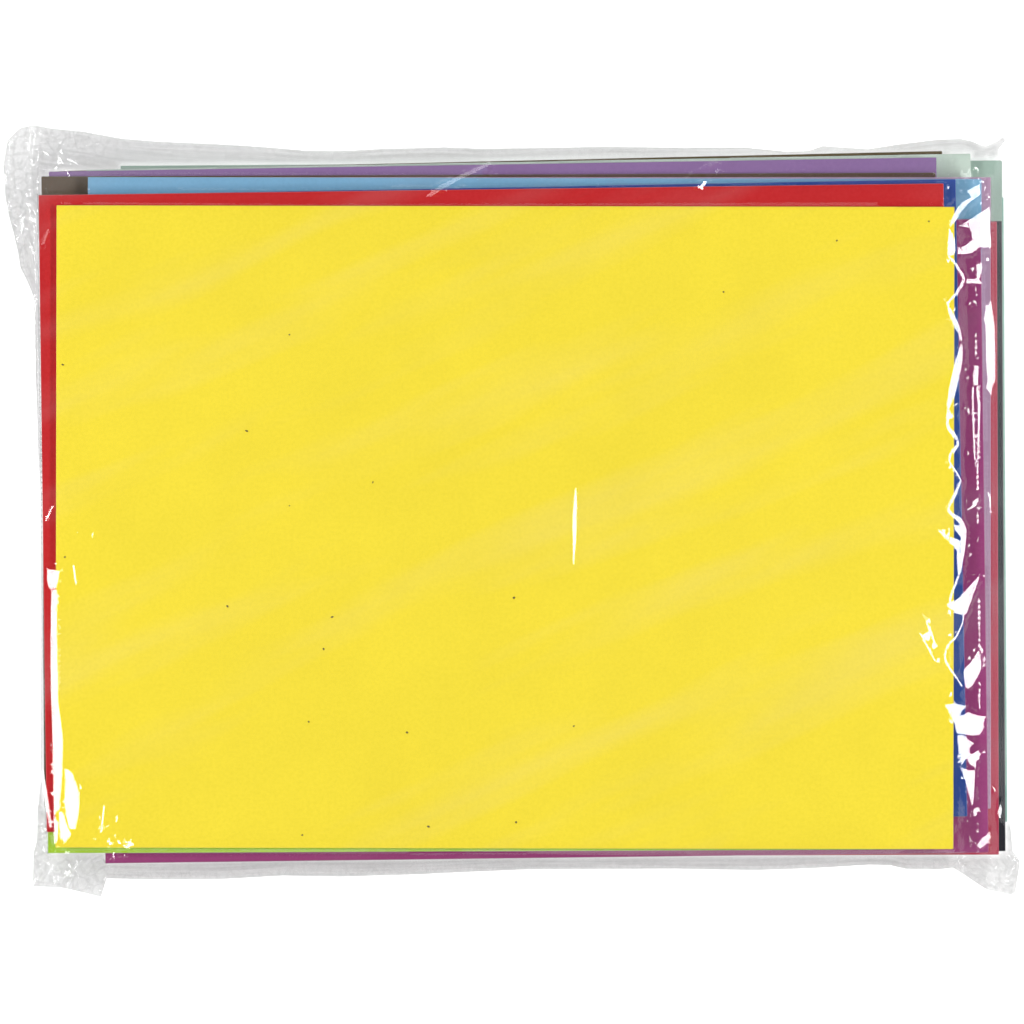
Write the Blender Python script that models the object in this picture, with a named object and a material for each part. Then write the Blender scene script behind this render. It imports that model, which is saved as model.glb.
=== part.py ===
"""Pack of craft foam sheets: fifteen coloured sheets of soft foam in one clear film bag.

The sheets lie flat in a loose pile, each a little turned and shifted from the next. The film is
drawn round the pile, flat above and below, and meets in a seam part way up its sides, which
stands out as a narrow lip at the two long edges and as a loose ear at each corner.
"""

import math

import bmesh
import bpy
from mathutils import Matrix, Vector

MM = 0.001

# Foam sheets
SHEET_LENGTH = 0.420
SHEET_WIDTH = 0.298
SHEET_THICKNESS = 0.002
LAYER_GAP = 0.0003

# Film bag
FILM_THICKNESS = 0.0003
FILM_CLEARANCE = 0.0003
FILM_BEND_RADIUS = 0.003
SEAL_WIDTH = 0.003
SEAM_LAYER = 5
WALL_LAYERS_BELOW = (0, 3)
WALL_LAYERS_ABOVE = (8, 12)
VENT_DIAMETER = 0.006
VENT_FROM_SIDE = 0.060
VENT_FROM_END = 0.090

# Each sheet from the top of the pile down: name, colour, what the knife left over or short in
# length and width, how far it lies to the side and up, all in millimetres, and its turn in degrees
SHEETS = (
    ("yellow", "F5E23C", 0.0, 2.5, -3.3, -7.6, -0.10),
    ("red", "C41F28", 4.0, 0.5, -7.9, 1.5, 0.74),
    ("lime", "A8CC3C", 0.0, 0.0, -8.4, -10.6, 0.26),
    ("blue", "30509A", 1.0, 1.5, 0.7, 2.4, 1.05),
    ("plum", "8E3A70", -4.5, 0.0, 14.6, -14.2, 0.71),
    ("sky", "68A4CC", 1.0, 0.0, 10.4, 7.9, -0.12),
    ("lilac", "B896C0", 0.0, 0.0, 15.9, 8.5, 0.00),
    ("brown", "584A3E", 2.5, 0.0, -10.5, 10.0, 0.24),
    ("violet", "8062A0", 0.0, 0.0, -6.8, 15.0, 0.92),
    ("raspberry", "C83C58", 0.0, 2.0, 20.2, -13.5, 0.18),
    ("black", "23242E", 0.0, 1.0, 23.3, -13.1, 0.33),
    ("pale_mint", "BED2C3", 0.0, 0.0, 10.6, 17.0, 1.05),
    ("olive", "5F5237", 0.0, 0.0, -1.9, 17.6, 1.30),
    ("mint", "96B6A8", 0.0, 0.0, 24.4, 16.8, 0.35),
    ("sea_green", "7FB0A2", 0.0, 0.0, 25.4, -0.6, 0.35),
)

# Stations round the seam, anticlockwise from the lower left corner: the share of the pile's length
# and of its width where each stands, and how far the seam reaches out from there in millimetres
LOWER_SEAM = (
    (0.024, 0.0, 0.0, -14.2),
    (0.063, 0.0, 0.0, -18.4),
    (0.080, 0.0, 0.0, -9.6),
    (0.187, 0.0, 0.0, -9.9),
    (0.310, 0.0, 0.0, -8.9),
    (0.442, 0.0, 0.0, -6.5),
    (0.560, 0.0, 0.0, -5.2),
    (0.700, 0.0, 0.0, -5.0),
    (0.860, 0.0, 0.0, -4.8),
    (0.943, 0.0, 0.0, -4.7),
    (0.976, 0.0, 0.0, -14.9),
)
RIGHT_EAR_LOW = (
    (1.0, 0.0, 2.8, -17.9),
    (1.0, 0.0, 4.6, -8.0),
    (1.0, 0.0, 5.7, -1.8),
)
RIGHT_SEAM = (
    (1.0, 0.03, 1.8, 0.0),
    (1.0, 0.12, 1.2, 0.0),
    (1.0, 0.35, 0.6, 0.0),
    (1.0, 0.65, 0.6, 0.0),
    (1.0, 0.95, 0.6, 0.0),
)
RIGHT_EAR_HIGH = (
    (1.0, 1.0, 2.2, 1.2),
    (1.0, 1.0, 2.4, 5.0),
    (1.0, 1.0, 1.2, 8.4),
    (1.0, 1.0, -1.2, 5.4),
)
UPPER_SEAM = (
    (0.972, 1.0, 0.0, 1.2),
    (0.950, 1.0, 0.0, 3.9),
    (0.920, 1.0, 0.0, 3.0),
    (0.850, 1.0, 0.0, 0.8),
    (0.680, 1.0, 0.0, 0.6),
    (0.490, 1.0, 0.0, 0.6),
    (0.340, 1.0, 0.0, 0.6),
    (0.190, 1.0, 0.0, 1.2),
    (0.084, 1.0, 0.0, 4.2),
    (0.014, 1.0, 0.0, 8.6),
)
LEFT_EAR_HIGH = (
    (0.0, 1.0, -2.4, 10.2),
    (0.0, 1.0, -9.3, 9.0),
    (0.0, 1.0, -15.5, 3.3),
)
LEFT_SEAM = (
    (0.0, 0.973, -17.5, 0.0),
    (0.0, 0.917, -16.2, 0.0),
    (0.0, 0.851, -10.3, 0.0),
    (0.0, 0.800, -3.8, 0.0),
    (0.0, 0.680, -2.1, 0.0),
    (0.0, 0.480, -0.6, 0.0),
    (0.0, 0.120, -0.6, 0.0),
    (0.0, 0.050, -1.4, 0.0),
)
LEFT_EAR_LOW = (
    (0.0, 0.0, -3.4, -2.0),
    (0.0, 0.0, -3.5, -7.0),
    (0.0, 0.0, -3.6, -13.4),
)
STATIONS = (
    LOWER_SEAM + RIGHT_EAR_LOW + RIGHT_SEAM + RIGHT_EAR_HIGH
    + UPPER_SEAM + LEFT_EAR_HIGH + LEFT_SEAM + LEFT_EAR_LOW
)


def clear_scene():
    for thing in list(bpy.data.objects):
        bpy.data.objects.remove(thing, do_unlink=True)


def srgb_to_linear(value):
    if value <= 0.04045:
        return value / 12.92
    return ((value + 0.055) / 1.055) ** 2.4


def make_material(name, colour, roughness, alpha=1.0):
    material = bpy.data.materials.new(name)
    material.use_nodes = True
    surface = material.node_tree.nodes["Principled BSDF"]
    channels = [srgb_to_linear(int(colour[i:i + 2], 16) / 255) for i in (0, 2, 4)]
    surface.inputs["Base Color"].default_value = (*channels, 1.0)
    surface.inputs["Roughness"].default_value = roughness
    surface.inputs["Metallic"].default_value = 0.0
    surface.inputs["Alpha"].default_value = alpha
    return material


def add_object(name, bm, parent):
    mesh = bpy.data.meshes.new(name)
    bmesh.ops.recalc_face_normals(bm, faces=bm.faces)
    bm.to_mesh(mesh)
    bm.free()
    thing = bpy.data.objects.new(name, mesh)
    bpy.context.scene.collection.objects.link(thing)
    thing.parent = parent
    return thing


def sheets_from_below():
    return tuple(reversed(SHEETS))


def layer_bottom(layer):
    """Height of the underside of a sheet, with the lowest one counted as 0."""
    return FILM_THICKNESS + FILM_CLEARANCE + layer * (SHEET_THICKNESS + LAYER_GAP)


def bag_top():
    return layer_bottom(len(SHEETS)) - LAYER_GAP + FILM_CLEARANCE + FILM_THICKNESS


def sheet_size(sheet):
    trim_length, trim_width = sheet[2:4]
    return SHEET_LENGTH + trim_length * MM, SHEET_WIDTH + trim_width * MM


def sheet_place(sheet):
    aside, up, turn = sheet[4:]
    return Vector((aside * MM, up * MM)), math.radians(turn)


def sheet_corners(sheet):
    """The four corners of a sheet in plan."""
    length, width = sheet_size(sheet)
    place, turn = sheet_place(sheet)
    square = [Vector((x * length / 2, y * width / 2)) for x in (-1, 1) for y in (-1, 1)]
    return [place + Matrix.Rotation(turn, 2) @ corner for corner in square]


def pile_box(first, last):
    """Plan box round the sheets from first to last: its low corner and its high corner."""
    chosen = sheets_from_below()[max(first, 0):last + 1]
    corners = [corner for sheet in chosen for corner in sheet_corners(sheet)]
    low = Vector((min(c.x for c in corners), min(c.y for c in corners)))
    high = Vector((max(c.x for c in corners), max(c.y for c in corners)))
    return low, high


def film_loop(box, height, inset, reach, seal=0.0):
    """One closed loop of the film round a box. Its inner face is inset from its outer face."""
    low, high = box
    # The round corners of the film stay clear of the sheets' square corners
    slack = FILM_BEND_RADIUS * (1 - math.sqrt(0.5))
    bend_centre = FILM_BEND_RADIUS - FILM_CLEARANCE - FILM_THICKNESS - slack
    loop = []
    for share_x, share_y, out_x, out_y in STATIONS:
        out = Vector((out_x, out_y)) * MM
        x = low.x + (high.x - low.x) * share_x
        y = low.y + (high.y - low.y) * share_y
        x = min(max(x, low.x + bend_centre), high.x - bend_centre)
        y = min(max(y, low.y + bend_centre), high.y - bend_centre)
        step = FILM_BEND_RADIUS - inset + reach * max(out.length - seal, 0.0)
        place = Vector((x, y)) + out.normalized() * step
        loop.append((place.x, place.y, height))
    return loop


def wall_boxes():
    """Each level of the film wall: its layer and a box that clears every sheet up to the next."""
    layers = (*WALL_LAYERS_BELOW, SEAM_LAYER, *WALL_LAYERS_ABOVE, len(SHEETS))
    boxes = []
    for i, layer in enumerate(layers):
        below = layers[max(i - 1, 0)] - 1
        above = layers[min(i + 1, len(layers) - 1)]
        boxes.append((layer, pile_box(below, above)))
    return boxes


def film_loops(inset, seam_half, seal):
    """The loops of one face of the film, from the floor up to the top of the pile."""
    loops = []
    for layer, box in wall_boxes():
        height = layer_bottom(layer) - LAYER_GAP / 2
        if layer == 0:
            loops.append(film_loop(box, inset, inset, 0))
        elif layer < SEAM_LAYER:
            loops.append(film_loop(box, height + inset, inset, 0))
        elif layer == SEAM_LAYER:
            loops.append(film_loop(box, height - seam_half, inset, 1, seal))
            loops.append(film_loop(box, height + seam_half, inset, 1, seal))
        elif layer < len(SHEETS):
            loops.append(film_loop(box, height - inset, inset, 0))
        else:
            loops.append(film_loop(box, bag_top() - inset, inset, 0))
    return loops


def loft(loops):
    """A closed solid through a row of loops, with a flat face at each end."""
    bm = bmesh.new()
    rows = [[bm.verts.new(point) for point in loop] for loop in loops]
    count = len(rows[0])
    for lower, upper in zip(rows, rows[1:]):
        for i in range(count):
            j = (i + 1) % count
            bm.faces.new((lower[i], lower[j], upper[j], upper[i]))
    bmesh.ops.triangulate(bm, faces=bm.faces)
    bm.faces.new(rows[0])
    bm.faces.new(rows[-1])
    return bm


def add_cutter(thing, cutter):
    cutter.hide_render = True
    cutter.display_type = "WIRE"
    cut = thing.modifiers.new(cutter.name, "BOOLEAN")
    cut.operation = "DIFFERENCE"
    cut.solver = "EXACT"
    cut.object = cutter


def add_sheet(sheet, layer, parent):
    """A flat slab of foam with square cut edges."""
    length, width = sheet_size(sheet)
    place, turn = sheet_place(sheet)
    bm = bmesh.new()
    bmesh.ops.create_cube(bm, size=1.0)
    bmesh.ops.scale(bm, vec=(length, width, SHEET_THICKNESS), verts=bm.verts)
    slab = add_object("sheet_" + sheet[0], bm, parent)
    slab.data.materials.append(make_material("foam_" + sheet[0], sheet[1], 0.75))
    slab.location = (place.x, place.y, layer_bottom(layer) + SHEET_THICKNESS / 2)
    slab.rotation_euler.z = turn


def add_vent(parent):
    """The punched air hole through the film under the pile."""
    low, high = pile_box(0, 0)
    depth = FILM_THICKNESS + FILM_CLEARANCE / 2
    bm = bmesh.new()
    bmesh.ops.create_cone(
        bm, cap_ends=True, segments=16, radius1=VENT_DIAMETER / 2, radius2=VENT_DIAMETER / 2, depth=2 * depth
    )
    vent = add_object("vent_cutter", bm, parent)
    vent.location = (high.x - VENT_FROM_SIDE, low.y + VENT_FROM_END, 0)
    return vent


def add_bag(parent):
    """The film: its outer shape, less the room for the pile and the vent."""
    seam_half = FILM_THICKNESS
    bag = add_object("film_bag", loft(film_loops(0.0, seam_half, 0.0)), parent)
    room = add_object("room_cutter", loft(film_loops(FILM_THICKNESS, seam_half / 3, SEAL_WIDTH)), parent)
    add_cutter(bag, room)
    add_cutter(bag, add_vent(parent))
    bag.data.materials.append(make_material("clear_film", "F2F4F4", 0.12, 0.2))


def seam_centre():
    """Middle of the bag's outline in plan."""
    seam_box = [box for layer, box in wall_boxes() if layer == SEAM_LAYER][0]
    outline = film_loop(seam_box, 0.0, 0.0, 1)
    xs = [point[0] for point in outline]
    ys = [point[1] for point in outline]
    return (min(xs) + max(xs)) / 2, (min(ys) + max(ys)) / 2


def build_pack():
    clear_scene()
    pack = bpy.data.objects.new("pack_place", None)
    bpy.context.scene.collection.objects.link(pack)
    for layer, sheet in enumerate(sheets_from_below()):
        add_sheet(sheet, layer, pack)
    add_bag(pack)
    x, y = seam_centre()
    pack.location = (-x, -y, 0)


build_pack()
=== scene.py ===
"""Pack of craft foam sheets: fifteen coloured sheets of soft foam in a loose pile, in one bag of
thin clear film. The pile lies flat on a white table and is seen from straight above."""

import math

import bmesh
import bpy
import numpy as np
from mathutils import Matrix, Vector, noise
from mathutils.geometry import delaunay_2d_cdt


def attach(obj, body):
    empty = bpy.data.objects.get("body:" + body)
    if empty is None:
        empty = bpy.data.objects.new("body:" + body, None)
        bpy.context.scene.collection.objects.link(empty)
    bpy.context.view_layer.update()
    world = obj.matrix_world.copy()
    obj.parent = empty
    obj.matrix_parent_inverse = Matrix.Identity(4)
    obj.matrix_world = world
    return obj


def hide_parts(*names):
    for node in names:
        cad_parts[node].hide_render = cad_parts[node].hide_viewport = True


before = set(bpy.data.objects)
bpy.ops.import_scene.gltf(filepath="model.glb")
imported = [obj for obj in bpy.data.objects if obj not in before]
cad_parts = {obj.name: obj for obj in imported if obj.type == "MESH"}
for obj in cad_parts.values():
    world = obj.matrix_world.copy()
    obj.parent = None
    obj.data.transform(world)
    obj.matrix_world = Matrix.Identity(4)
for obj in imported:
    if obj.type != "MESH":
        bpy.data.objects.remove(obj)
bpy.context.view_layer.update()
shop = bpy.context.scene


# Table top. A wide light table with a matt white face, plain and level, that the pack lies on.
# It glows faintly from below, which washes out shadows, and its edge never shows.

TABLE_SIDE = 9.0
TABLE_GLOW = 0.55
LAMINATE_WHITE, LAMINATE_PALE = "E9E9E8", "ECECEC"
LAMINATE_CLOUDS = 4.0


def linear(colour):
    """A hex colour as the screen shows it, turned to linear light."""
    channels = [int(colour[i:i + 2], 16) / 255 for i in (0, 2, 4)]
    return tuple(c / 12.92 if c <= 0.04045 else ((c + 0.055) / 1.055) ** 2.4 for c in channels) + (1.0,)


def add_node(tree, kind, values=(), links=(), **settings):
    """One node with its settings, the values of its sockets and the outputs that feed them."""
    node = tree.nodes.new(kind)
    for name, value in settings.items():
        setattr(node, name, value)
    for socket, value in dict(values).items():
        node.inputs[socket].default_value = value
    for socket, source in dict(links).items():
        tree.links.new(source, node.inputs[socket])
    return node


def new_material(name):
    material = bpy.data.materials.new(name)
    material.use_nodes = True
    material.node_tree.nodes.clear()
    return material, material.node_tree


def place_piece(name, mesh):
    thing = bpy.data.objects.new(name, mesh)
    shop.collection.objects.link(thing)
    return thing


# Melamine laminate, pressed matt: an even white with only a trace of cloudiness
laminate, tree = new_material("white_laminate")
spot = add_node(tree, "ShaderNodeTexCoord")
cloud = add_node(
    tree, "ShaderNodeTexNoise", {"Scale": LAMINATE_CLOUDS, "Detail": 2.0},
    {"Vector": spot.outputs["Object"]}
)
tone = add_node(
    tree, "ShaderNodeMix", {6: linear(LAMINATE_WHITE), 7: linear(LAMINATE_PALE)},
    {0: cloud.outputs[0]}, data_type="RGBA"
)
surface = add_node(
    tree, "ShaderNodeBsdfPrincipled",
    {
        "Roughness": 0.6, "Specular IOR Level": 0.2,
        "Emission Color": (1.0, 1.0, 1.0, 1.0), "Emission Strength": TABLE_GLOW
    },
    {"Base Color": tone.outputs[2]}
)
add_node(tree, "ShaderNodeOutputMaterial", links={"Surface": surface.outputs[0]})

board = bmesh.new()
bmesh.ops.create_grid(board, x_segments=2, y_segments=2, size=TABLE_SIDE / 2)
board_mesh = bpy.data.meshes.new("table_top")
board.to_mesh(board_mesh)
board.free()
board_mesh.materials.append(laminate)
place_piece("table_top", board_mesh)


# Lights and camera. Two soft boxes stand low on the left and the right, so that flat film stays
# clear and only its creases shine, with four weaker ones between them at the corners.

SIDE_BOX = (1.05, 0.28)
SIDE_ANGLE = 52.0
SIDE_STRENGTH = 28.5
CORNER_BOX = (0.5, 0.5)
CORNER_ANGLE = 58.0
CORNER_STRENGTH = 5.0
BOX_DISTANCE = 1.9
ROOM_GREY = 0.11
CAMERA_PLACE = (0.00008, 0.00009, 1.635)
CAMERA_LENS, SENSOR_WIDTH = 120.3, 36.0


def add_softbox(name, heading, from_upright, size, strength):
    """A soft box that looks at the middle of the pack. Strength is how bright its face is."""
    lamp = bpy.data.lights.new(name, "AREA")
    lamp.shape = "RECTANGLE"
    lamp.size, lamp.size_y = size
    lamp.energy = strength * math.pi * size[0] * size[1]
    box = bpy.data.objects.new(name, lamp)
    shop.collection.objects.link(box)
    turn, lean = math.radians(heading), math.radians(from_upright)
    out = Vector((math.sin(lean) * math.cos(turn), math.sin(lean) * math.sin(turn), math.cos(lean)))
    box.location = out * BOX_DISTANCE
    box.rotation_mode = "QUATERNION"
    box.rotation_quaternion = out.to_track_quat("Z", "Y")
    box.visible_camera = False
    return box.location.copy()


# Where each soft box stands, by its heading
box_places = {
    0: add_softbox("right_box", 0, SIDE_ANGLE, SIDE_BOX, SIDE_STRENGTH),
    180: add_softbox("left_box", 180, SIDE_ANGLE, SIDE_BOX, SIDE_STRENGTH),
}
for heading in (45, 135, 225, 315):
    box_places[heading] = add_softbox(
        f"corner_box_{heading}", heading, CORNER_ANGLE, CORNER_BOX, CORNER_STRENGTH
    )

room = bpy.data.worlds.new("grey_room")
room.use_nodes = True
room.node_tree.nodes["Background"].inputs["Color"].default_value = (ROOM_GREY, ROOM_GREY, ROOM_GREY, 1.0)
shop.world = room
shop.view_settings.view_transform = "Standard"

camera = bpy.data.objects.new("camera", bpy.data.cameras.new("camera"))
shop.collection.objects.link(camera)
camera.data.lens = CAMERA_LENS
camera.data.sensor_width = SENSOR_WIDTH
camera.data.clip_start, camera.data.clip_end = 0.05, 30.0
camera.location = CAMERA_PLACE
shop.camera = camera


# Foam sheets. Fifteen slabs of closed-cell EVA foam 2 mm thick, skived from a block and cut to
# size with a knife, so each face is matt and finely pitted. Each cut edge is a little paler, partly
# for its open cells and partly as a painted highlight where the edge catches the light.
# They lie loose on one another, each a little turned and shifted.

SHEETS = (
    ("yellow", "F0DA32"),
    ("red", "BC1319"),
    ("lime", "A4CC2A"),
    ("blue", "264999"),
    ("plum", "963A74"),
    ("sky", "78ABCC"),
    ("lilac", "B592AE"),
    ("brown", "544430"),
    ("violet", "8A6A9C"),
    ("raspberry", "B83450"),
    ("black", "1C1D28"),
    ("pale_mint", "CBDDD0"),
    ("olive", "62553A"),
    ("mint", "A6BFB2"),
    ("sea_green", "7FB0A2"),
)
FACE_STEP = 0.006
SHEET_WAVE = 0.00007
KNIFE_ROUND = 0.00045
CELL_SIZE = 0.0011
CLOUD_SIZE = 0.040
WAVES_PER_METRE = 14.0


def shade(colour, by):
    """The same colour, lighter or darker in linear light."""
    return tuple(min(c * by, 1.0) for c in linear(colour)[:3]) + (1.0,)


def foam(name, colour):
    """EVA foam, skived: dead matt, clouded from the block and pitted by its cut cells. The cells are
    0.2 mm across and are drawn at 1.1 mm, or they would not show."""
    material, tree = new_material("eva_foam_" + name)
    spot = add_node(tree, "ShaderNodeTexCoord")
    place = {"Vector": spot.outputs["Object"]}
    cloud = add_node(
        tree, "ShaderNodeTexNoise", {"Scale": 1 / CLOUD_SIZE, "Detail": 2.0, "Roughness": 0.6}, place
    )
    cells = add_node(
        tree, "ShaderNodeTexVoronoi", {"Scale": 1 / CELL_SIZE}, place, voronoi_dimensions="2D"
    )
    grain = add_node(tree, "ShaderNodeTexNoise", {"Scale": 0.7 / CELL_SIZE, "Detail": 1.0}, place)
    cloudy = add_node(
        tree, "ShaderNodeMapRange", {1: 0.3, 2: 0.7, 3: 0.0, 4: 1.0}, {0: cloud.outputs[0]}
    )
    face = add_node(
        tree, "ShaderNodeMix", {6: shade(colour, 0.98), 7: shade(colour, 1.02)},
        {0: cloudy.outputs[0]}, data_type="RGBA"
    )
    pitted = add_node(
        tree, "ShaderNodeMapRange", {1: 0.35, 2: 0.75, 3: 0.0, 4: 0.16}, {0: grain.outputs[0]}
    )
    pores = add_node(
        tree, "ShaderNodeMix", {7: shade(colour, 0.72)},
        {0: pitted.outputs[0], 6: face.outputs[2]}, data_type="RGBA"
    )
    side = add_node(tree, "ShaderNodeNewGeometry")
    way = add_node(tree, "ShaderNodeSeparateXYZ", links={0: side.outputs["Normal"]})
    upright = add_node(tree, "ShaderNodeMath", links={0: way.outputs[2]}, operation="ABSOLUTE")
    # Cut edges, where the normal leans from upright, are painted paler: partly their open cells, partly a
    # painted highlight where the edge catches the light
    cut = add_node(
        tree, "ShaderNodeMapRange", {1: 0.6, 2: 0.985, 3: 1.0, 4: 0.0}, {0: upright.outputs[0]}
    )
    paler_cut_and_highlight = tuple(0.82 * c + 0.10 for c in linear(colour)[:3]) + (1.0,)
    dressed = add_node(
        tree, "ShaderNodeMix", {7: paler_cut_and_highlight}, {0: cut.outputs[0], 6: pores.outputs[2]}, data_type="RGBA"
    )
    relief = add_node(
        tree, "ShaderNodeMath", {1: 0.5}, {0: cells.outputs["Distance"], 2: grain.outputs[0]},
        operation="MULTIPLY_ADD"
    )
    bump = add_node(
        tree, "ShaderNodeBump", {"Strength": 0.35, "Distance": 0.00015}, {"Height": relief.outputs[0]}
    )
    dull = add_node(
        tree, "ShaderNodeMapRange", {1: 0.3, 2: 0.7, 3: 0.74, 4: 0.9}, {0: grain.outputs[0]}
    )
    surface = add_node(
        tree, "ShaderNodeBsdfPrincipled", {"IOR": 1.48, "Specular IOR Level": 0.3, "Sheen Weight": 0.08},
        {"Base Color": dressed.outputs[2], "Roughness": dull.outputs[0], "Normal": bump.outputs[0]}
    )
    add_node(tree, "ShaderNodeOutputMaterial", links={"Surface": surface.outputs[0]})
    return material


def new_rule(name, result, inputs):
    """An empty Geometry Nodes tree, the identifiers of its named inputs, and what they bring in."""
    tree = bpy.data.node_groups.new(name, "GeometryNodeTree")
    tree.interface.new_socket(result, in_out="OUTPUT", socket_type="NodeSocketGeometry")
    identifiers = {}
    for socket_name, kind in inputs.items():
        socket = tree.interface.new_socket(socket_name, in_out="INPUT", socket_type="NodeSocket" + kind)
        identifiers[socket_name] = socket.identifier
    return tree, identifiers, add_node(tree, "NodeGroupInput").outputs


def follow_rule(rough, rule, identifiers, values):
    """Hangs a Geometry Nodes tree on an object, with its values."""
    modifier = rough.modifiers.new(rule.name, "NODES")
    modifier.node_group = rule
    for socket_name, value in values.items():
        modifier[identifiers[socket_name]] = value


def finished_mesh(rough):
    """The mesh that an object's modifiers make. The object itself goes."""
    mesh = bpy.data.meshes.new_from_object(rough.evaluated_get(bpy.context.evaluated_depsgraph_get()))
    bpy.data.objects.remove(rough)
    return mesh


slab_tree, slab_inputs, given = new_rule("foam_slab", "Slab", {
    "Length": "Float", "Width": "Float", "Thickness": "Float", "Wave height": "Float", "Seed": "Float",
    "Cells along": "Int", "Cells across": "Int", "Foam": "Material"
})
size = add_node(
    slab_tree, "ShaderNodeCombineXYZ",
    links={0: given["Length"], 1: given["Width"], 2: given["Thickness"]}
)
block = add_node(
    slab_tree, "GeometryNodeMeshCube", {"Vertices Z": 2},
    {"Size": size.outputs[0], "Vertices X": given["Cells along"], "Vertices Y": given["Cells across"]}
)
where = add_node(slab_tree, "GeometryNodeInputPosition")
flat = add_node(
    slab_tree, "ShaderNodeVectorMath", {1: (1.0, 1.0, 0.0)}, {0: where.outputs[0]}, operation="MULTIPLY"
)
wave = add_node(
    slab_tree, "ShaderNodeTexNoise", {"Scale": WAVES_PER_METRE, "Detail": 1.0},
    {"Vector": flat.outputs[0], "W": given["Seed"]}, noise_dimensions="4D"
)
lift = add_node(slab_tree, "ShaderNodeMath", {1: 0.5}, {0: wave.outputs[0]}, operation="SUBTRACT")
height = add_node(
    slab_tree, "ShaderNodeMath", links={0: lift.outputs[0], 1: given["Wave height"]}, operation="MULTIPLY"
)
rise = add_node(slab_tree, "ShaderNodeCombineXYZ", links={2: height.outputs[0]})
moved = add_node(
    slab_tree, "GeometryNodeSetPosition", links={"Geometry": block.outputs[0], "Offset": rise.outputs[0]}
)
coated = add_node(
    slab_tree, "GeometryNodeSetMaterial", links={"Geometry": moved.outputs[0], "Material": given["Foam"]}
)
real = add_node(slab_tree, "GeometryNodeRealizeInstances", links={0: coated.outputs[0]})
add_node(slab_tree, "NodeGroupOutput", links={0: real.outputs[0]})


def corners_of(node):
    """The four corners of a sheet in plan, anticlockwise, and its under and upper height, in mm."""
    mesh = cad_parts[node].data
    points = np.empty(len(mesh.vertices) * 3)
    mesh.vertices.foreach_get("co", points)
    points = points.reshape(-1, 3) * 1000
    plan = [
        points[np.argmin(points @ np.array(way))][:2]
        for way in ((1, 1, 0), (-1, 1, 0), (-1, -1, 0), (1, -1, 0))
    ]
    return np.array(plan), points[:, 2].min(), points[:, 2].max()


plans = {}
for number, (name, colour) in enumerate(SHEETS):
    corners, under, upper = plans[name] = corners_of("sheet_" + name)
    along, across = corners[1] - corners[0], corners[3] - corners[0]
    length, width = np.linalg.norm(along) / 1000, np.linalg.norm(across) / 1000
    rough = place_piece("rough_" + name, bpy.data.meshes.new("rough_" + name))
    follow_rule(rough, slab_tree, slab_inputs, {
        "Length": length, "Width": width, "Thickness": (upper - under) / 1000,
        "Wave height": 2 * SHEET_WAVE, "Seed": 3.7 * number,
        "Cells along": round(length / FACE_STEP), "Cells across": round(width / FACE_STEP),
        "Foam": foam(name, colour)
    })
    knife = rough.modifiers.new("knife_edge", "BEVEL")
    knife.width, knife.segments = KNIFE_ROUND, 3
    knife.limit_method, knife.angle_limit = "ANGLE", math.radians(50)
    mesh = finished_mesh(rough)
    middle = corners.mean(axis=0) / 1000
    mesh.transform(
        Matrix.Translation((middle[0], middle[1], (under + upper) / 2000))
        @ Matrix.Rotation(math.atan2(along[1], along[0]), 4, "Z")
    )
    mesh.shade_smooth()
    mesh.set_sharp_from_angle(angle=math.radians(60))
    sheet = place_piece("foam_sheet_" + name, mesh)
    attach(sheet, "root")
    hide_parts("sheet_" + name)


# Dust. Crumbs of dark lint that were packed in with the foam and lie on the top sheet under the
# film. Each is about a millimetre across and pressed flat. Their places are in millimetres.

SPECK_PLACES = (
    (1, -40), (-104, 3), (-133, -44), (-84, -49), (-209, -21), (-210, 69), (-104, 83), (-124, 38),
    (-95, -98), (-88, -64), (-65, 14), (29, -100), (-39, -147), (2, -145), (-49, -103), (-98, -151),
    (195, 136), (152, 127), (99, 103),
)
LINT_SIZE, FUZZ_SIZE = 0.0012, 0.0004
LINT_DARK, LINT_PALE = "3E3220", "86743C"

# Lint: dull brown fibre, darker in places
lint, tree = new_material("brown_lint")
spot = add_node(tree, "ShaderNodeTexCoord")
fuzz = add_node(
    tree, "ShaderNodeTexNoise", {"Scale": 1 / FUZZ_SIZE, "Detail": 2.0},
    {"Vector": spot.outputs["Object"]}
)
tone = add_node(
    tree, "ShaderNodeMix", {6: linear(LINT_DARK), 7: linear(LINT_PALE)}, {0: fuzz.outputs[0]},
    data_type="RGBA"
)
surface = add_node(tree, "ShaderNodeBsdfPrincipled", {"Roughness": 0.95}, {"Base Color": tone.outputs[2]})
add_node(tree, "ShaderNodeOutputMaterial", links={"Surface": surface.outputs[0]})

lint_tree, lint_inputs, given = new_rule("lint_on_foam", "Lint", {
    "Places": "Geometry", "Speck size": "Float", "Seed": "Int", "Dust": "Material"
})
radius = add_node(lint_tree, "ShaderNodeMath", {1: 0.5}, {0: given["Speck size"]}, operation="MULTIPLY")
crumb = add_node(
    lint_tree, "GeometryNodeMeshIcoSphere", {"Subdivisions": 2}, {"Radius": radius.outputs[0]}
)
spread_out = add_node(
    lint_tree, "FunctionNodeRandomValue", {0: (0.6, 0.45, 0.22), 1: (1.3, 0.9, 0.30)},
    {"Seed": given["Seed"]}, data_type="FLOAT_VECTOR"
)
turn = add_node(
    lint_tree, "FunctionNodeRandomValue", {0: (0.0, 0.0, 0.0), 1: (0.0, 0.0, math.pi)},
    {"Seed": given["Seed"]}, data_type="FLOAT_VECTOR"
)
strewn = add_node(
    lint_tree, "GeometryNodeInstanceOnPoints",
    links={
        "Points": given["Places"], "Instance": crumb.outputs[0],
        "Rotation": turn.outputs[0], "Scale": spread_out.outputs[0]
    }
)
real = add_node(lint_tree, "GeometryNodeRealizeInstances", links={0: strewn.outputs[0]})
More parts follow.
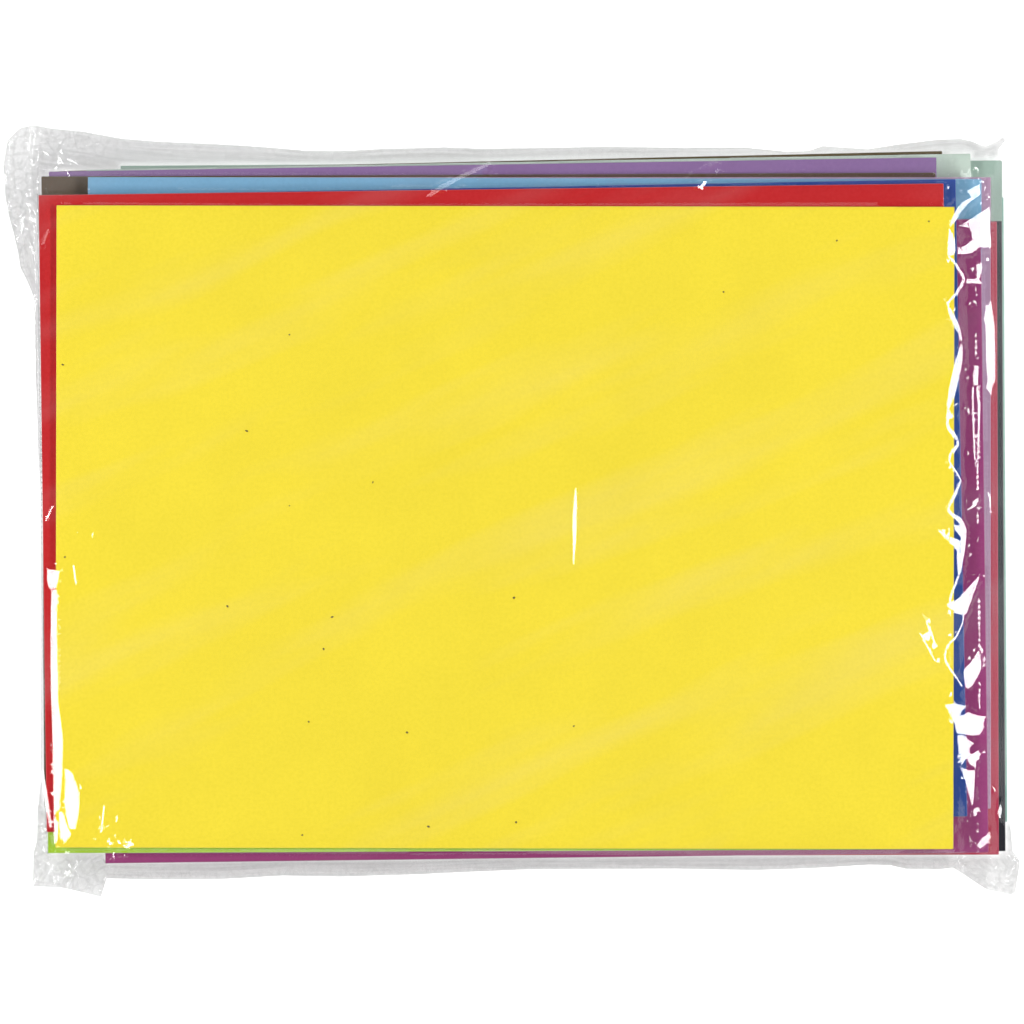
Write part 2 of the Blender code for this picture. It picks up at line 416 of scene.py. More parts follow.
dusted = add_node(
    lint_tree, "GeometryNodeSetMaterial", links={"Geometry": real.outputs[0], "Material": given["Dust"]}
)
add_node(lint_tree, "NodeGroupOutput", links={0: dusted.outputs[0]})

places_mesh = bpy.data.meshes.new("lint_places")
top_face = plans["yellow"][2] / 1000 + SHEET_WAVE
places_mesh.from_pydata([(x / 1000, y / 1000, top_face) for x, y in SPECK_PLACES], [], [])
rough = place_piece("rough_lint", places_mesh)
follow_rule(rough, lint_tree, lint_inputs, {"Speck size": LINT_SIZE, "Seed": 4, "Dust": lint})
dust = place_piece("dust_specks", finished_mesh(rough))
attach(dust, "root")


# Film bag. Thin clear polypropylene film, drawn over the pile and welded all round into a seam
# half way up its sides. The film lies flat on the top sheet, drops over the edges in hard creases,
# and beyond the pile it stands out in a crinkled lip with a loose ear at each corner.

SEAM_HEIGHT = 12.0
SEAM_HEIGHT_RIGHT = 5.0
# The seam's outline in plan, in millimetres, clockwise from the left ear at the top
SEAM = (
    (-241.3, 164.4), (-239.3, 176.7), (-233.1, 182.4), (-226.3, 183.6), (-217.7, 182.0),
    (-203.5, 180.6), (-185.1, 177.2), (-168.5, 175.8), (-135.8, 174.3), (-117.3, 173.1),
    (-98.4, 171.5), (-81.4, 171.3), (-61.0, 172.4), (-32.1, 173.1), (-13.7, 172.4), (21.4, 172.8),
    (43.6, 173.4), (79.6, 172.9), (110.9, 172.9), (137.9, 170.2), (147.3, 173.6), (156.3, 172.9),
    (169.1, 172.1), (183.3, 174.4), (202.3, 176.7), (212.7, 177.2), (217.9, 176.1), (222.6, 174.3),
    (225.0, 173.7), (231.1, 176.5), (236.1, 181.6), (235.4, 178.1), (231.3, 172.3), (232.3, 167.0),
    (232.3, 147.8), (232.3, 100.5), (232.3, 53.1), (232.9, 5.8), (234.5, -50.6), (235.1, -107.9),
    (235.4, -111.7), (237.0, -141.0), (237.5, -160.6), (241.2, -165.8), (238.6, -181.9),
    (225.0, -178.9), (214.6, -172.0), (209.4, -168.7), (202.3, -169.4), (186.6, -169.1),
    (179.1, -167.3), (169.1, -167.1), (144.0, -168.7), (115.1, -169.8), (79.6, -169.1),
    (8.1, -169.3), (-20.8, -170.6), (-47.3, -171.9), (-81.4, -172.9), (-108.8, -172.3),
    (-137.7, -173.9), (-170.4, -174.2), (-192.2, -173.7), (-194.9, -182.5), (-213.0, -178.2),
    (-227.4, -177.5), (-227.2, -169.9), (-227.0, -161.4), (-225.4, -156.2), (-225.1, -142.4),
    (-223.4, -126.8), (-223.4, -88.9), (-223.4, -41.6), (-223.6, 10.5), (-224.7, 27.5),
    (-225.4, 53.1), (-225.9, 66.8), (-226.4, 92.4), (-227.0, 102.8), (-230.0, 109.9),
    (-233.1, 116.1), (-234.2, 123.2), (-236.7, 133.6), (-240.0, 145.5),
)
# Creased flats of the film that tip to the right and catch the light: their outlines in plan, in
# millimetres at the height of the top sheet
CREASES_RIGHT = (
    ((212.9, 150.2), (219.0, 153.5), (219.7, 149.1), (215.2, 147.4)),
    ((215.2, 147.4), (219.7, 149.1), (214.3, 145.1), (209.6, 140.2), (208.0, 137.1), (205.2, 133.9),
     (204.4, 134.1), (206.1, 138.1), (208.2, 142.0), (211.0, 145.3)),
    ((208.5, 133.7), (212.9, 136.0), (218.5, 139.7), (223.2, 142.7), (223.7, 139.0), (223.7, 132.0),
     (224.4, 123.6), (220.4, 123.8), (219.0, 124.5), (217.1, 122.6), (215.1, 121.0), (207.8, 120.2),
     (208.1, 121.9), (213.5, 125.9), (215.2, 127.3), (213.8, 132.5)),
    ((204.3, 132.9), (206.4, 129.6), (207.4, 125.9), (207.4, 121.5), (205.0, 119.9), (203.5, 120.2),
     (203.8, 127.3)),
    ((203.5, 119.9), (204.7, 119.8), (207.8, 116.6), (211.7, 110.9), (212.1, 108.6), (211.0, 106.0),
     (208.5, 102.1), (205.0, 98.5), (203.3, 96.9), (203.1, 97.8), (206.6, 101.8), (209.9, 106.7),
     (210.9, 109.1), (210.1, 110.9), (207.1, 115.6)),
    ((203.3, 96.9), (204.2, 96.7), (207.1, 91.5), (209.2, 87.6), (210.8, 81.1), (210.3, 79.6),
     (207.9, 85.0), (206.0, 88.3), (204.0, 93.2)),
    ((210.4, 79.1), (211.0, 77.3), (211.0, 71.2), (209.9, 65.8), (208.5, 59.7), (206.7, 53.6),
     (204.7, 49.3), (204.3, 48.3), (203.5, 48.5), (203.3, 51.1), (204.2, 57.6), (205.6, 64.0),
     (207.5, 71.2)),
    ((203.5, 48.0), (204.4, 48.0), (206.2, 44.7), (204.2, 42.9), (204.0, 41.5), (204.9, 39.3),
     (206.7, 37.9), (208.5, 35.0), (209.2, 32.7), (208.2, 31.9), (207.8, 34.0), (206.4, 35.0),
     (203.8, 37.9), (202.9, 40.8), (202.8, 44.0)),
    ((208.2, 31.9), (209.1, 31.4), (207.1, 28.2), (205.3, 25.7), (204.7, 23.6), (206.4, 21.4),
     (209.2, 17.5), (210.5, 14.8), (207.8, 7.9), (204.9, 3.2), (204.2, 1.5), (206.0, -0.4),
     (209.6, -2.2), (211.7, -5.0), (212.8, -8.2), (212.6, -12.2), (212.1, -18.6), (211.5, -20.8),
     (210.3, -27.9), (209.2, -29.6), (208.5, -27.9), (208.3, -22.5), (208.1, -18.2), (206.4, -15.8),
     (204.7, -14.2), (204.7, -11.4), (206.4, -12.2), (209.9, -13.2), (210.8, -12.9), (207.1, -8.1),
     (206.8, -5.8), (210.3, -6.5), (207.3, -3.2), (204.2, -0.6), (203.3, 1.1), (204.2, 4.0),
     (207.1, 9.7), (209.6, 15.1), (208.1, 17.5), (204.9, 21.8), (204.0, 24.3), (204.2, 26.8),
     (206.0, 29.7)),
    ((204.5, -13.8), (202.8, -12.5), (198.9, -8.3), (198.6, -7.6), (201.4, -9.3), (204.5, -11.0)),
    ((208.5, -29.7), (209.2, -30.1), (208.3, -33.3), (206.7, -36.2), (205.4, -41.1), (204.5, -42.5),
     (204.0, -41.1), (206.7, -34.0), (207.9, -30.8)),
    ((219.4, -29.0), (218.5, -31.1), (217.1, -35.5), (215.0, -41.1), (214.2, -42.9), (212.8, -47.1),
     (211.4, -48.5), (207.4, -47.1), (203.1, -44.1), (203.1, -42.7), (207.4, -41.1), (211.0, -37.9)),
    ((211.1, -48.8), (211.8, -49.0), (211.0, -52.5), (209.3, -56.3), (207.6, -59.3), (205.3, -61.2),
     (204.0, -63.0), (202.7, -66.3), (203.0, -69.3), (205.4, -73.1), (207.5, -75.9), (211.1, -81.9),
     (210.6, -82.0), (206.8, -76.5), (204.5, -73.6), (202.1, -69.5), (201.9, -66.0), (203.2, -62.4),
     (204.8, -60.4), (206.9, -58.8), (208.7, -55.9), (210.5, -52.1)),
    ((218.5, -64.7), (219.3, -66.8), (219.9, -72.9), (219.2, -75.1), (216.0, -80.4), (213.5, -82.6),
     (212.2, -81.5), (211.2, -76.1), (211.7, -73.3), (214.9, -70.1)),
    ((202.1, -89.9), (206.6, -89.4), (212.2, -90.4), (208.8, -95.2), (209.9, -95.7), (213.5, -93.4),
     (215.7, -94.3), (219.2, -95.6), (221.9, -95.3), (221.4, -97.8), (217.8, -100.9), (221.4, -100.6),
     (218.9, -104.0), (214.9, -104.5), (211.4, -103.6), (207.8, -103.3), (206.7, -98.9),
     (204.5, -94.3)),
    ((207.9, -104.1), (211.0, -104.0), (213.1, -106.1), (216.4, -108.2), (213.8, -110.0),
     (213.5, -112.5), (215.7, -112.9), (218.5, -111.3), (219.5, -113.3), (218.5, -115.8),
     (217.3, -116.1), (217.3, -119.7), (214.2, -117.9), (212.8, -114.4), (209.9, -118.2),
     (209.0, -112.9)),
    ((209.6, -119.0), (213.5, -120.8), (217.1, -120.8), (216.7, -125.4), (215.9, -136.9),
     (215.2, -136.5), (212.8, -128.3), (210.7, -122.2)),
    ((217.3, 115.8), (220.3, 116.9), (219.9, 112.3), (218.9, 108.7), (219.9, 107.0), (212.4, 107.1),
     (212.6, 108.9), (218.0, 108.9)),
    ((224.6, 99.0), (225.3, 92.9), (226.0, 88.6), (226.4, 78.2), (226.6, 70.2), (226.3, 60.4),
     (225.0, 58.6), (224.6, 54.7), (222.1, 58.3), (222.8, 62.3), (222.0, 71.2), (222.0, 80.5),
     (222.0, 87.1), (220.9, 90.1), (222.1, 95.8)),
    ((215.6, 59.0), (216.3, 59.0), (216.3, 49.7), (217.3, 25.3), (217.6, 23.5), (216.6, 23.5),
     (215.7, 43.1), (215.5, 52.5)),
    ((217.3, 59.0), (218.3, 59.0), (219.4, 51.1), (219.1, 35.4), (218.4, 23.9), (217.8, 25.3),
     (218.2, 35.4), (218.3, 50.6)),
    ((217.1, 68.7), (218.5, 66.5), (218.3, 59.5), (216.2, 59.5), (215.9, 64.4)),
    ((222.6, 10.4), (224.6, 7.2), (224.3, 1.8), (223.8, 2.0), (223.6, 6.2)),
    ((212.8, 0.7), (215.2, 2.9), (215.9, 5.2), (218.5, 6.9), (218.7, 5.5), (216.9, 2.7)),
    ((223.7, -149.7), (224.3, -152.2), (222.7, -154.6), (219.5, -157.3), (217.4, -156.1),
     (219.5, -152.8), (221.6, -151.6)),
    ((229.0, -136.7), (229.7, -140.0), (228.8, -143.9), (227.5, -140.9)),
    ((225.3, -128.0), (227.1, -130.8), (226.3, -131.1), (225.1, -128.8)),
    ((193.3, -51.1), (194.0, -51.4), (199.0, -62.8), (198.5, -63.2), (195.6, -57.9)),
    ((190.2, -56.3), (190.9, -56.5), (198.4, -69.5), (197.9, -69.9), (195.1, -65.2)),
)
# The same for flats that tip to the left
CREASES_LEFT = (
    ((-217.1, -27.0), (-214.6, -26.6), (-211.1, -27.5), (-211.8, -31.7), (-213.2, -35.9),
     (-216.0, -35.7), (-217.4, -31.7)),
    ((-215.3, -36.4), (-212.7, -36.4), (-212.5, -59.8), (-212.0, -87.8), (-209.7, -105.6),
     (-209.9, -120.6), (-211.3, -139.3), (-212.5, -154.7), (-213.9, -154.7), (-214.1, -134.6),
     (-214.6, -108.9), (-215.5, -87.8), (-215.7, -59.8)),
    ((-209.0, -119.2), (-205.7, -121.5), (-202.9, -127.6), (-201.9, -134.6), (-202.4, -141.6),
     (-203.8, -147.7), (-206.6, -148.2), (-208.5, -141.6), (-209.0, -129.9)),
    ((-211.8, -140.2), (-209.9, -140.2), (-208.5, -144.9), (-205.7, -150.5), (-208.5, -154.2),
     (-211.3, -152.4)),
    ((-220.2, -121.5), (-218.8, -121.0), (-216.4, -134.6), (-214.6, -146.8), (-215.7, -147.2),
     (-218.5, -134.6)),
    ((-214.8, 3.1), (-213.9, 2.9), (-217.4, -4.1), (-218.3, -3.9)),
    ((-205.5, -24.5), (-204.7, -24.6), (-203.3, -32.6), (-204.1, -32.8)),
    ((-191.0, -137.2), (-190.2, -137.4), (-191.6, -149.6), (-192.3, -149.6)),
    ((29.9, 12.3), (30.4, 5.7), (30.0, -13.0), (29.1, -22.8), (28.5, -22.4), (28.4, -3.6), (29.1, 6.6)),
)
# And for narrow flats that tip to the soft box of the heading given first: the corner boxes are
# weaker, so that most of these shine less
CREASES_PALE = (
    (135, ((-39.7, 147.9), (-33.6, 152.6), (-22.8, 157.7), (-10.2, 162.9), (-9.3, 161.7),
           (-21.4, 156.1), (-32.2, 150.7), (-38.3, 147.0))),
    (315, ((81.5, 156.3), (88.0, 160.0), (96.9, 164.0), (97.4, 162.9), (88.9, 158.6), (82.4, 155.4))),
    (0, ((86.1, 152.1), (88.0, 152.6), (89.4, 154.4), (91.3, 155.1), (90.3, 153.0), (88.5, 151.2),
         (87.1, 151.2))),
    (135, ((-221.2, 124.5), (-219.3, 125.7), (-217.9, 129.2), (-216.7, 132.9), (-216.7, 130.6),
           (-217.9, 125.9), (-219.3, 124.6))),
)
# Zones of small hard crumples: lowest and highest x and y, how many, their length, the way they lie
# in degrees from x, and the chance that one tips to the right
FLECK_ZONES = (
    (-231.5, -223.5, 152.0, 177.0, 15, (2.0, 5.5), 108, 0.5),
    (-221.0, -209.0, 160.0, 176.0, 7, (1.5, 5.0), -30, 0.3),
    (-233.0, -225.5, 104.0, 147.0, 22, (2.5, 8.0), 105, 0.5),
    (-226.5, -225.0, 40.0, 100.0, 7, (2.0, 6.0), 92, 0.3),
    (-228.0, -204.0, -179.0, -164.5, 26, (1.5, 4.5), 50, 0.5),
    (-193.0, -184.0, -157.0, -136.0, 7, (1.5, 6.0), 75, 0.2),
    (-211.0, -176.0, -161.5, -151.0, 13, (1.5, 6.0), -18, 0.3),
    (-203.0, -188.0, -20.0, 0.0, 3, (1.0, 3.0), 60, 0.2),
    (219.0, 224.5, 142.0, 160.0, 11, (1.5, 4.0), 80, 0.6),
    (213.0, 219.0, 147.0, 156.0, 5, (1.0, 3.0), 60, 0.6),
    (216.5, 223.5, 160.5, 164.0, 4, (2.0, 4.5), 8, 0.6),
    (206.0, 230.0, -177.0, -160.0, 14, (1.5, 4.5), 60, 0.5),
    (214.0, 222.0, 90.0, 119.0, 12, (1.5, 5.0), 95, 0.7),
    (207.0, 220.0, -60.0, 80.0, 26, (1.5, 5.0), 85, 0.7),
)
# How far the film sinks beside the pile, and its clearance above and under it, in millimetres
FILM_SAG, FILM_SAG_RIGHT = 16.0, 2.5
FILM_GAP, FILM_GAP_UNDER = 0.2, 0.55
# Spacing of the film's points: over the edges and over the calm middle of the pile, above and under
FINE_STEP, CALM_STEP, UNDER_STEP, UNDER_CALM_STEP = 1.5, 5.0, 3.2, 14.0
CALM_INSET = 12.0
BAG_HALF_LENGTH, BAG_HALF_WIDTH = 246, 190
# Longest piece of each line drawn in the film, and how far other points keep from it
SEAM_STEP, CREASE_STEP, FLECK_STEP = 2.0, 1.4, 0.7
SEAM_CLEARANCE, CREASE_CLEARANCE = 0.8, 0.55
ON_SEAM, ON_LINE = 0.01, 0.02
# The fold over a sheet's edge stands this far out from it
FOLD_OUT = 0.4
# The skin is drawn round the sheets a quarter of a percent large, and round the seam near them
SKIN_MARGIN, RIM_REACH = 0.0025, 11
# From the camera down to the top sheet
CAMERA_DROP = 1600
# How far a pull on the film is felt along it: over the pile, beyond it and underneath
REACH_TAUT, REACH_LOOSE, REACH_UNDER = 7.0, 0.8, 2.4
RELAX_STEPS = 400
# Small crumples: seed, scatter of their headings in degrees, and width as a share of length
FLECK_SEED, FLECK_SCATTER, FLECK_WIDTH = 7, 22, (0.18, 0.42)
FLECK_FROM_SEAM, FLECK_FROM_OTHERS = 1.2, 0.5
VENT_PLACE, VENT_RADIUS, VENT_SIDES = (176.4, -60.3), 3.0, 24
# Flat facets lie this near a corner and this far beyond the pile; sharper folds stay sharp, in degrees
CRUSHED_REACH, CRUSHED_BEYOND = 62, 1.5
SHARP_FOLD = 9


def inside(points, loop):
    """Which points lie inside a loop."""
    x, y = points[:, :1], points[:, 1:2]
    ax, ay = loop[:, 0], loop[:, 1]
    bx, by = np.roll(ax, -1), np.roll(ay, -1)
    rise = np.where(by == ay, 1e-12, by - ay)
    crossing = ((ay > y) != (by > y)) & (x < (bx - ax) * (y - ay) / rise + ax)
    return crossing.sum(axis=1) % 2 == 1


def from_loop(points, loop):
    """How far each point is from a loop, and how far round the loop its nearest place lies."""
    start, run = loop, np.roll(loop, -1, axis=0) - loop
    length = np.linalg.norm(run, axis=1)
    travelled = np.concatenate(([0.0], np.cumsum(length)[:-1]))
    best, round_at = np.full(len(points), 1e9), np.zeros(len(points))
    for a, r, size, done in zip(start, run, length, travelled):
        share = np.clip(((points - a) @ r) / size ** 2, 0, 1)
        off = np.linalg.norm(points - a - share[:, None] * r, axis=1)
        closer = off < best
        best[closer] = off[closer]
        round_at[closer] = (done + share * size)[closer]
    return best, round_at


def within(points, loop, margin):
    """Which points lie in the upright box round a loop, widened by a margin."""
    low, high = loop.min(axis=0) - margin, loop.max(axis=0) + margin
    return (points > low).all(axis=1) & (points < high).all(axis=1)


def finer(loop, step):
    """A loop with no piece longer than step."""
    out = []
    for a, b in zip(loop, np.roll(loop, -1, axis=0)):
        parts = max(1, math.ceil(np.linalg.norm(b - a) / step))
        out += [a + (b - a) * i / parts for i in range(parts)]
    return np.array(out)


def outside_sheet(points, corners):
    """How far points lie outside a sheet's plan, less than 0 inside it, and the way straight out."""
    middle = corners.mean(axis=0)
    along, across = corners[1] - corners[0], corners[3] - corners[0]
    long_way, cross_way = along / np.linalg.norm(along), across / np.linalg.norm(across)
    u, v = (points - middle) @ long_way, (points - middle) @ cross_way
    over = np.stack((abs(u) - np.linalg.norm(along) / 2, abs(v) - np.linalg.norm(across) / 2), axis=1)
    past_end = (over[:, 0] > over[:, 1])[:, None]
    ways = np.where(past_end, np.sign(u)[:, None] * long_way, np.sign(v)[:, None] * cross_way)
    return over.max(axis=1), ways


def smooth_step(low, high, value):
    """A soft rise from 0 at low to 1 at high."""
    t = np.clip((value - low) / (high - low), 0, 1)
    return t * t * (3 - 2 * t)


def hexagon_grid(step):
    """Evenly spread points over the whole bag."""
    rows = np.arange(-BAG_HALF_WIDTH, BAG_HALF_WIDTH, step * math.sqrt(0.75))
    columns = np.arange(-BAG_HALF_LENGTH, BAG_HALF_LENGTH, step)
    return np.array([(x + (step / 2 if i % 2 else 0), y) for i, y in enumerate(rows) for x in columns])


seam = finer(np.array(SEAM), SEAM_STEP)
for corners, under, upper in plans.values():
    off, ways = outside_sheet(seam, corners)
    seam += ways * np.clip(SEAM_CLEARANCE - off, 0, None)[:, None]


def seam_height(points):
    """The seam waves a little, and sinks where the film is drawn down the right side."""
    x, y = points[:, 0], points[:, 1]
    sunk = smooth_step(222, 230, x) * smooth_step(-163, -140, y) * smooth_step(176, 169, y)
    wave = 0.6 * np.sin(x / 23 + 1.0) + 0.5 * np.sin(y / 17 + 2.0) * smooth_step(-200, -235, x)
    return (SEAM_HEIGHT + wave) * (1 - sunk) + SEAM_HEIGHT_RIGHT * sunk


def hull_planes(points, facing):
    """The planes of the tightest skin over a set of points that face up, or down."""
    skin = bmesh.new()
    for point in points:
        skin.verts.new(point)
    bmesh.ops.convex_hull(skin, input=skin.verts)
    bmesh.ops.recalc_face_normals(skin, faces=skin.faces)
    planes = []
    for face in skin.faces:
        if face.normal.z * facing > 0.02:
            n, p = face.normal, face.verts[0].co
            planes.append((-n.x / n.z, -n.y / n.z, p.z + (n.x * p.x + n.y * p.y) / n.z))
    skin.free()
    return np.array(planes)


def skin_height(points, planes, facing):
    """The height of that skin at each point."""
    heights = points @ planes[:, :2].T + planes[:, 2]
    return heights.min(axis=1) if facing > 0 else heights.max(axis=1)


def relax(faces, count, base, reach, spread, fixed, fixed_height):
    """Draws the film taut: each point settles between the skin under it and its neighbours."""
    edges = np.concatenate((faces[:, (0, 1)], faces[:, (1, 2)], faces[:, (2, 0)]))
    edges = np.unique(np.sort(edges, axis=1), axis=0)
    a, b = edges[:, 0], edges[:, 1]
    pull = (reach[a] + reach[b]) ** 2 / 6
    free = ~fixed

    def apply(z):
        flow = pull * (z[a] - z[b])
        return np.bincount(a, flow, count) - np.bincount(b, flow, count) + spread * z

    z = np.where(fixed, fixed_height, base)
    rest = (spread * base - apply(z)) * free
    scale = np.bincount(a, pull, count) + np.bincount(b, pull, count) + spread
    step = rest / scale
    way, energy = step.copy(), (rest * step).sum()
    for _ in range(RELAX_STEPS):
        moved = apply(way) * free
        size = energy / max((way * moved).sum(), 1e-30)
        z += size * way
        rest -= size * moved
        step = rest / scale
        left = (rest * step).sum()
        if left < 1e-10:
            break
        way = step + way * left / energy
        energy = left
    return z


def area_round(plan, faces):
    """The area of film that each point holds, scaled as relax asks: 1.1547 is 2 over root 3."""
    corner_a, corner_b, corner_c = (plan[faces[:, i]] for i in range(3))
    area = abs(np.cross(corner_b - corner_a, corner_c - corner_a)) / 2
    return np.bincount(faces.ravel(), np.repeat(area, 3) / 3, len(plan)) * 1.1547


def grown(corners, by):
    """A sheet's outline, a little larger."""
    out = corners - corners.mean(axis=0)
    return corners + by * np.sign(out)


def flecks(taken):
    """Small facets strewn over their zones, clear of one another and of the large creases."""
    draw = np.random.default_rng(FLECK_SEED)
    kept = []
    for low_x, high_x, low_y, high_y, number, (short, long), heading, to_right in FLECK_ZONES:
        for _ in range(number):
            middle = np.array([draw.uniform(low_x, high_x), draw.uniform(low_y, high_y)])
            length = short + (long - short) * draw.random() ** 2
            turn = math.radians(heading + draw.normal(0, FLECK_SCATTER))
            along = np.array([math.cos(turn), math.sin(turn)]) * length / 2
            across = np.array([-along[1], along[0]]) * draw.uniform(*FLECK_WIDTH)
            nick = draw.uniform(-0.5, 0.5)
            outline = middle + np.array([
                along, nick * along + across, -along, -nick * along - 0.7 * across
            ])
            toward = 0 if draw.random() < to_right else 180
            fine = finer(outline, FLECK_STEP)
            if not inside(fine, seam).all() or from_loop(fine, seam)[0].min() < FLECK_FROM_SEAM:
                continue
            if any(
                from_loop(fine, other)[0].min() < FLECK_FROM_OTHERS or inside(fine, other).any()
                for other in taken[2:]
            ):
                continue
            taken.append(outline)
            kept.append((outline, toward))
    return kept


def draw_film(facing):
    """One side of the film, 1 for upper and -1 for lower: its points and faces in plan, the planes of
    the skin round the pile, and the lines drawn in it."""
    upward = facing > 0
    fine = FINE_STEP if upward else UNDER_STEP
    calm = CALM_STEP if upward else UNDER_CALM_STEP
    level, gap = (2, FILM_GAP) if upward else (1, FILM_GAP_UNDER)
    heap = []
    for plan in plans.values():
        out = (plan[0] - plan[0].mean(axis=0)) * SKIN_MARGIN
        heap.append(np.column_stack((plan[0] + out, np.full(4, plan[level] + gap * facing))))
    near_heap = np.min([outside_sheet(seam, plan[0])[0] for plan in plans.values()], axis=0) < RIM_REACH
    rim = np.column_stack((seam, seam_height(seam)))[near_heap]
    planes = hull_planes(np.concatenate(heap + [rim]), facing)

    calm_sheet = plans["yellow" if upward else "sea_green"][0]
    dense, sparse = hexagon_grid(fine), hexagon_grid(calm)
    calm_at = outside_sheet(dense, calm_sheet)[0] < -CALM_INSET
    dense = dense[~calm_at]
    sparse = sparse[outside_sheet(sparse, calm_sheet)[0] < -CALM_INSET]
    points = np.concatenate((dense, sparse))
    points = points[inside(points, seam)]
    points = points[from_loop(points, seam)[0] > SEAM_CLEARANCE]

    loops = []
    if upward:
        loops = [(grown(plans[name][0], FOLD_OUT), 0) for name in ("yellow", "red")]
        creases = [(0, crease) for crease in CREASES_RIGHT] + [(180, crease) for crease in CREASES_LEFT]
        for toward, outline in creases + list(CREASES_PALE):
            outline = np.array(outline)
            middle = skin_height(outline.mean(axis=0)[None, :], planes, 1)[0]
            drop = plans["yellow"][2] - max(middle, SEAM_HEIGHT)
            loops.append((outline * (CAMERA_DROP + drop) / CAMERA_DROP, toward))
        loops += flecks([outline for outline, toward in loops])
        for outline, toward in loops:
            box = within(points, outline, 2)
            near = np.zeros(len(points), bool)
            near[box] = from_loop(points[box], outline)[0] < CREASE_CLEARANCE
            points = points[~near]
    else:
        ring = np.linspace(0, 2 * math.pi, VENT_SIDES, endpoint=False)
        vent = np.array(VENT_PLACE) + VENT_RADIUS * np.column_stack((np.cos(ring), np.sin(ring)))
        loops.append((vent, 0))
        points = points[from_loop(points, vent)[0] > SEAM_CLEARANCE]

    everything, edges = [points], []
    count = len(points)
    for outline, toward in loops:
        drawn = finer(outline, CREASE_STEP)
        edges += [(count + i, count + (i + 1) % len(drawn)) for i in range(len(drawn))]
        everything.append(drawn)
        count += len(drawn)
    everything.append(seam)
    whole = [Vector(p) for p in np.concatenate(everything)]
    rim_face = list(range(count, count + len(seam)))
    made = delaunay_2d_cdt(whole, edges, [rim_face], 1, 1e-6, False)
    plan = np.array([tuple(v) for v in made[0]])
    faces = np.array(made[2])
    return plan, faces[inside(plan[faces].mean(axis=1), seam)], planes, loops


def cover(plan, level, facing, reach):
    """The height that clears every sheet within reach of a point."""
    height = np.full(len(plan), -1e9 if facing > 0 else 1e9)
    pick = np.maximum if facing > 0 else np.minimum
    for sheet in plans.values():
        near = outside_sheet(plan, sheet[0])[0] < reach
        height[near] = pick(height[near], sheet[level])
    return height


def ridged(points, sizes, seed):
    """Sharp-backed ripples, from -1 to 1, a given size along x and y."""
    return np.array([
        1 - 4 * abs(noise.noise(Vector((x / sizes[0], y / sizes[1], seed)))) for x, y in points
    ])


def rolling(points, size, seed):
    """Soft swells, from -1 to 1."""
    return np.array([noise.noise(Vector((x / size, y / size, seed))) for x, y in points])


def mirror_fall(place, heading):
    """How steeply a flat of film falls where it shows the soft box of a heading to the camera. Those
    that face a side box fall along x alone, so that long ones stay low."""
    here = Vector((place[0], place[1], 30.0)) / 1000
    upright = (camera.location - here).normalized() + (box_places[heading] - here).normalized()
    return np.array((upright.x, upright.y if heading % 180 else 0.0)) / upright.z


def loose_film(plan, seam_gap, seam_run):
    """Ripples of the film that has nothing under it: lines along the seam and crumples at the ears."""
    beyond = np.min([outside_sheet(plan, sheet[0])[0] for sheet in plans.values()], axis=0)
    free = smooth_step(1, 9, beyond)
    along_seam = np.column_stack((seam_gap, seam_run))
    lines = 0.14 * smooth_step(0, 3, seam_gap) * ridged(along_seam, (4.0, 60.0), 3.0)
    coarse = 0.8 * ridged(plan, (16.0, 16.0), 5.0) + 0.4 * ridged(plan, (6.5, 6.5), 9.0)
    coarse += 0.2 * ridged(plan, (3.4, 3.4), 13.0)
    return free * (lines + smooth_step(4, 16, beyond) * smooth_step(0, 3, seam_gap) * coarse)


# Upper side, with its creases
plan, faces, planes, loops = draw_film(1)
spread = area_round(plan, faces)
seam_gap, seam_run = from_loop(plan, seam)
on_seam = seam_gap < ON_SEAM
seam_z = seam_height(plan)
over_top = outside_sheet(plan, plans["yellow"][0])[0]
right_side = smooth_step(203, 208, plan[:, 0])
sag = (FILM_SAG_RIGHT * right_side + FILM_SAG * (1 - right_side)) * smooth_step(0, 8, over_top)
base = np.maximum(skin_height(plan, planes, 1) - sag, cover(plan, 2, 1, 0.8) + FILM_GAP)
# The film lies level from the yellow sheet over the strip of red at its left
on_ledge = plan[:, 0] < plans["yellow"][0][:, 0].min() + 2
on_ledge &= outside_sheet(plan, plans["red"][0])[0] < 0.6
base = np.maximum(base, np.where(on_ledge, plans["yellow"][2] + FILM_GAP, seam_z))
folded = np.min([from_loop(plan, outline)[0] for outline, toward in loops[:2]], axis=0) < ON_LINE
fixed, fixed_height = on_seam | folded, np.where(on_seam, seam_z, base)
middle = plan[faces].mean(axis=1)
flat_face = np.zeros(len(faces), bool)
for outline, toward in loops[2:]:
    box = within(plan, outline, 1)
    held = box.copy()
    held[box] = inside(plan[box], outline) | (from_loop(plan[box], outline)[0] < ON_LINE)
    fall = mirror_fall(outline.mean(axis=0), toward)
    start = (base[held] + plan[held] @ fall).max() + 0.1
    fixed_height[held] = start - plan[held] @ fall
    fixed |= held
    box = within(middle, outline, 1)
    flat_face[box] |= inside(middle[box], outline)
reach = np.where(over_top < -2, REACH_TAUT, REACH_LOOSE)
z = relax(faces, len(plan), base, reach, spread, fixed, fixed_height)

corner_near = np.min([np.linalg.norm(plan - c, axis=1) for c in plans["yellow"][0]], axis=0)
crumple = smooth_step(46, 12, corner_near) * smooth_step(-6, 6, over_top)
loose = ~fixed
z += np.where(loose, loose_film(plan, seam_gap, seam_run), 0)
z += np.where(loose, 0.35 * crumple * ridged(plan, (9.0, 9.0), 5.0), 0)
z += np.where(loose & (over_top < 0), 0.22 * rolling(plan, 70.0, 8.0), 0)
z = np.where(on_seam, z, np.maximum(z, cover(plan, 2, 1, 0.9) + FILM_GAP))
upper = (plan, z, faces, seam_gap, seam_run, on_seam)

